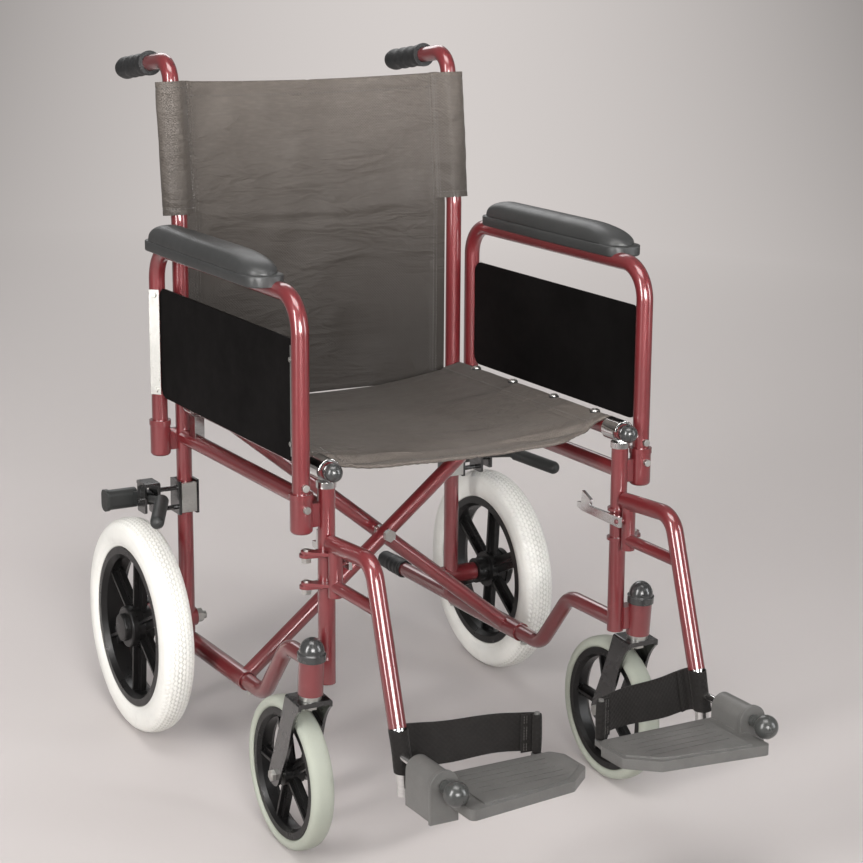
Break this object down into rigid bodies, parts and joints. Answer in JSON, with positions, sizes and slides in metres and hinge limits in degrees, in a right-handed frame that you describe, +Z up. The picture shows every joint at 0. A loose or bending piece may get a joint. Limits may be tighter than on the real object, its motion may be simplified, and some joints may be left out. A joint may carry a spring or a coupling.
{
  "type": "folding transit wheelchair",
  "caption": "Folding attendant-pushed wheelchair with cross-braced tubular frame, sling seat and back, padded armrests, swing-away footrests and spoked wheels.",
  "frame": {"origin": "on the ground, centre of the chair's overall footprint", "axes": "+X across the chair towards its right-hand side in a front view, +Y towards the rear (the chair faces -Y), +Z up"},
  "size_m": [0.643, 1.0474, 0.9366],
  "materials": {
    "frame_red": "metallic gloss",
    "black_rubber": "matt",
    "brake_black": "satin",
    "black_steel": "gloss powder coat",
    "black_plastic": "satin",
    "knob_black": "satin",
    "chrome_steel": "polished",
    "zinc_steel": "bright zinc",
    "nylon_grey": "woven coated nylon",
    "pad_foam": "moulded skin foam",
    "panel_black": "satin sheet",
    "tyre_white": "pale rubber",
    "tyre_pale": "pale grey rubber",
    "wheel_black": "moulded composite",
    "footplate_grey": "moulded",
    "webbing_brown": "woven webbing"
  },
  "bodies": {
    "left_frame": {"side_frame_left": "frame_red", "handgrip_left": "black_rubber", "tip_cap_left": "black_rubber", "seat_cradle_left": "chrome_steel", "caster_cap_left": "black_plastic", "frame_hardware_left": "zinc_steel", "brake_bracket_left": "black_steel", "back_sleeve_left": "nylon_grey"},
    "right_frame": {"side_frame_right": "frame_red", "handgrip_right": "black_rubber", "tip_cap_right": "black_rubber", "seat_cradle_right": "chrome_steel", "caster_cap_right": "black_plastic", "frame_hardware_right": "zinc_steel", "brake_bracket_right": "black_steel", "back_sleeve_right": "nylon_grey"},
    "front_brace": {"brace_front": "frame_red", "brace_pivot_bolt": "zinc_steel", "rail_trim_right": "black_plastic"},
    "rear_brace": {"brace_rear": "frame_red", "rail_trim_left": "black_plastic"},
    "left_seat_half": {"seat_sling_left": "nylon_grey"},
    "left_back_half": {"back_sling_left": "nylon_grey"},
    "left_armrest": {"arm_frame_left": "frame_red", "arm_pad_left": "pad_foam", "side_panel_left": "panel_black", "panel_hardware_left": "zinc_steel"},
    "left_rear_wheel": {"rear_tyre_left": "tyre_white", "rear_wheel_left": "wheel_black"},
    "left_caster": {"caster_fork_left": "black_steel", "caster_bolts_left": "zinc_steel"},
    "left_caster_roller": {"caster_tyre_left": "tyre_pale", "caster_wheel_left": "wheel_black"},
    "left_footrest": {"hanger_left": "frame_red", "leg_tube_left": "chrome_steel", "footplate_knob_left": "knob_black"},
    "left_latch": {"latch_lever_left": "chrome_steel"},
    "left_foot_plate": {"footplate_left": "footplate_grey", "heel_strap_left": "webbing_brown"},
    "left_brake": {"brake_lever_left": "brake_black"},
    "right_seat_half": {"seat_sling_right": "nylon_grey"},
    "right_back_half": {"back_sling_right": "nylon_grey"},
    "right_armrest": {"arm_frame_right": "frame_red", "arm_pad_right": "pad_foam", "side_panel_right": "panel_black", "panel_hardware_right": "zinc_steel"},
    "right_rear_wheel": {"rear_tyre_right": "tyre_white", "rear_wheel_right": "wheel_black"},
    "right_caster": {"caster_fork_right": "black_steel", "caster_bolts_right": "zinc_steel"},
    "right_caster_roller": {"caster_tyre_right": "tyre_pale", "caster_wheel_right": "wheel_black"},
    "right_footrest": {"hanger_right": "frame_red", "leg_tube_right": "chrome_steel", "footplate_knob_right": "knob_black"},
    "right_latch": {"latch_lever_right": "chrome_steel"},
    "right_foot_plate": {"footplate_right": "footplate_grey", "heel_strap_right": "webbing_brown"},
    "right_brake": {"brake_lever_right": "brake_black"}
  },
  "joints": [
    {"name": "fold", "type": "hinge", "parent": "left_frame", "child": "front_brace", "pos_m": [-0.216, 0.07053, 0.13835], "axis": [0, -0.9964, 0.0842], "range_deg": [0, 35]},
    {"name": "fold_rear_brace", "type": "hinge", "parent": "front_brace", "child": "rear_brace", "pos_m": [0, 0.10117, 0.31093], "axis": [0, -0.9964, 0.0842], "range_deg": [-70, 0]},
    {"name": "fold_right_frame", "type": "hinge", "parent": "rear_brace", "child": "right_frame", "pos_m": [0.216, 0.10043, 0.13583], "axis": [0, -0.9964, 0.0842], "range_deg": [0, 35]},
    {"name": "fold_seat_left", "type": "hinge", "parent": "rear_brace", "child": "left_seat_half", "pos_m": [-0.216, 0.06007, 0.48958], "axis": [0, -0.9964, 0.0842], "range_deg": [0, 104.2]},
    {"name": "fold_seat_right", "type": "hinge", "parent": "front_brace", "child": "right_seat_half", "pos_m": [0.216, 0.06007, 0.48958], "axis": [0, -0.9964, 0.0842], "range_deg": [-104.2, 0]},
    {"name": "fold_back_left", "type": "hinge", "parent": "left_frame", "child": "left_back_half", "pos_m": [-0.19, 0.32226, 0.66011], "axis": [0, 0.1298, 0.9915], "range_deg": [0, 74.2]},
    {"name": "fold_back_right", "type": "hinge", "parent": "right_frame", "child": "right_back_half", "pos_m": [0.19, 0.32226, 0.66011], "axis": [0, 0.1298, 0.9915], "range_deg": [-74.2, 0]},
    {"name": "fold_footplate_left", "type": "hinge", "parent": "left_footrest", "child": "left_foot_plate", "pos_m": [-0.218, -0.42871, 0.22781], "axis": [0, -0.9964, 0.0842], "range_deg": [0, 97.1]},
    {"name": "fold_footplate_right", "type": "hinge", "parent": "right_footrest", "child": "right_foot_plate", "pos_m": [0.218, -0.42871, 0.22781], "axis": [0, -0.9964, 0.0842], "range_deg": [-97.1, 0]},
    {"name": "footrest_swing_left", "type": "hinge", "parent": "left_frame", "child": "left_footrest", "pos_m": [-0.243, -0.15855, 0.38461], "axis": [0, -0.0842, -0.9964], "range_deg": [0, 90]},
    {"name": "latch_left", "type": "hinge", "parent": "left_footrest", "child": "left_latch", "pos_m": [-0.199, -0.18328, 0.39473], "axis": [1, 0, 0], "range_deg": [0, 20]},
    {"name": "armrest_lift_left", "type": "slide", "parent": "left_frame", "child": "left_armrest", "axis": [0, 0.0842, 0.9964], "range_m": [0, 0.07]},
    {"name": "brake_left", "type": "hinge", "parent": "left_frame", "child": "left_brake", "pos_m": [-0.27, 0.28461, 0.33211], "axis": [1, 0, 0], "range_deg": [-10, 15]},
    {"name": "rear_wheel_spin_left", "type": "hinge", "parent": "left_frame", "child": "left_rear_wheel", "pos_m": [-0.287, 0.2663, 0.1527], "axis": [1, 0, 0], "continuous": true},
    {"name": "caster_swivel_left", "type": "hinge", "parent": "left_frame", "child": "left_caster", "pos_m": [-0.245, -0.1844, 0.24], "axis": [0, 0, 1], "continuous": true},
    {"name": "caster_spin_left", "type": "hinge", "parent": "left_caster", "child": "left_caster_roller", "pos_m": [-0.245, -0.1367, 0.1], "axis": [1, 0, 0], "continuous": true},
    {"name": "footrest_swing_right", "type": "hinge", "parent": "right_frame", "child": "right_footrest", "pos_m": [0.243, -0.15855, 0.38461], "axis": [0, 0.0842, 0.9964], "range_deg": [0, 90]},
    {"name": "latch_right", "type": "hinge", "parent": "right_footrest", "child": "right_latch", "pos_m": [0.199, -0.18328, 0.39473], "axis": [1, 0, 0], "range_deg": [0, 20]},
    {"name": "armrest_lift_right", "type": "slide", "parent": "right_frame", "child": "right_armrest", "axis": [0, 0.0842, 0.9964], "range_m": [0, 0.07]},
    {"name": "brake_right", "type": "hinge", "parent": "right_frame", "child": "right_brake", "pos_m": [0.27, 0.28461, 0.33211], "axis": [1, 0, 0], "range_deg": [-10, 15]},
    {"name": "rear_wheel_spin_right", "type": "hinge", "parent": "right_frame", "child": "right_rear_wheel", "pos_m": [0.287, 0.2663, 0.1527], "axis": [1, 0, 0], "continuous": true},
    {"name": "caster_swivel_right", "type": "hinge", "parent": "right_frame", "child": "right_caster", "pos_m": [0.245, -0.1844, 0.24], "axis": [0, 0, 1], "continuous": true},
    {"name": "caster_spin_right", "type": "hinge", "parent": "right_caster", "child": "right_caster_roller", "pos_m": [0.245, -0.1367, 0.1], "axis": [1, 0, 0], "continuous": true}
  ],
  "couplings": [
    {"joint": "fold_rear_brace", "follows": "fold", "ratio": -2},
    {"joint": "fold_right_frame", "follows": "fold", "ratio": 1},
    {"joint": "fold_seat_left", "follows": "fold", "ratio": 2.9762},
    {"joint": "fold_seat_right", "follows": "fold", "ratio": -2.9762},
    {"joint": "fold_back_left", "follows": "fold", "ratio": 2.12},
    {"joint": "fold_back_right", "follows": "fold", "ratio": -2.12},
    {"joint": "fold_footplate_left", "follows": "fold", "ratio": 2.7714},
    {"joint": "fold_footplate_right", "follows": "fold", "ratio": -2.7714}
  ]
}
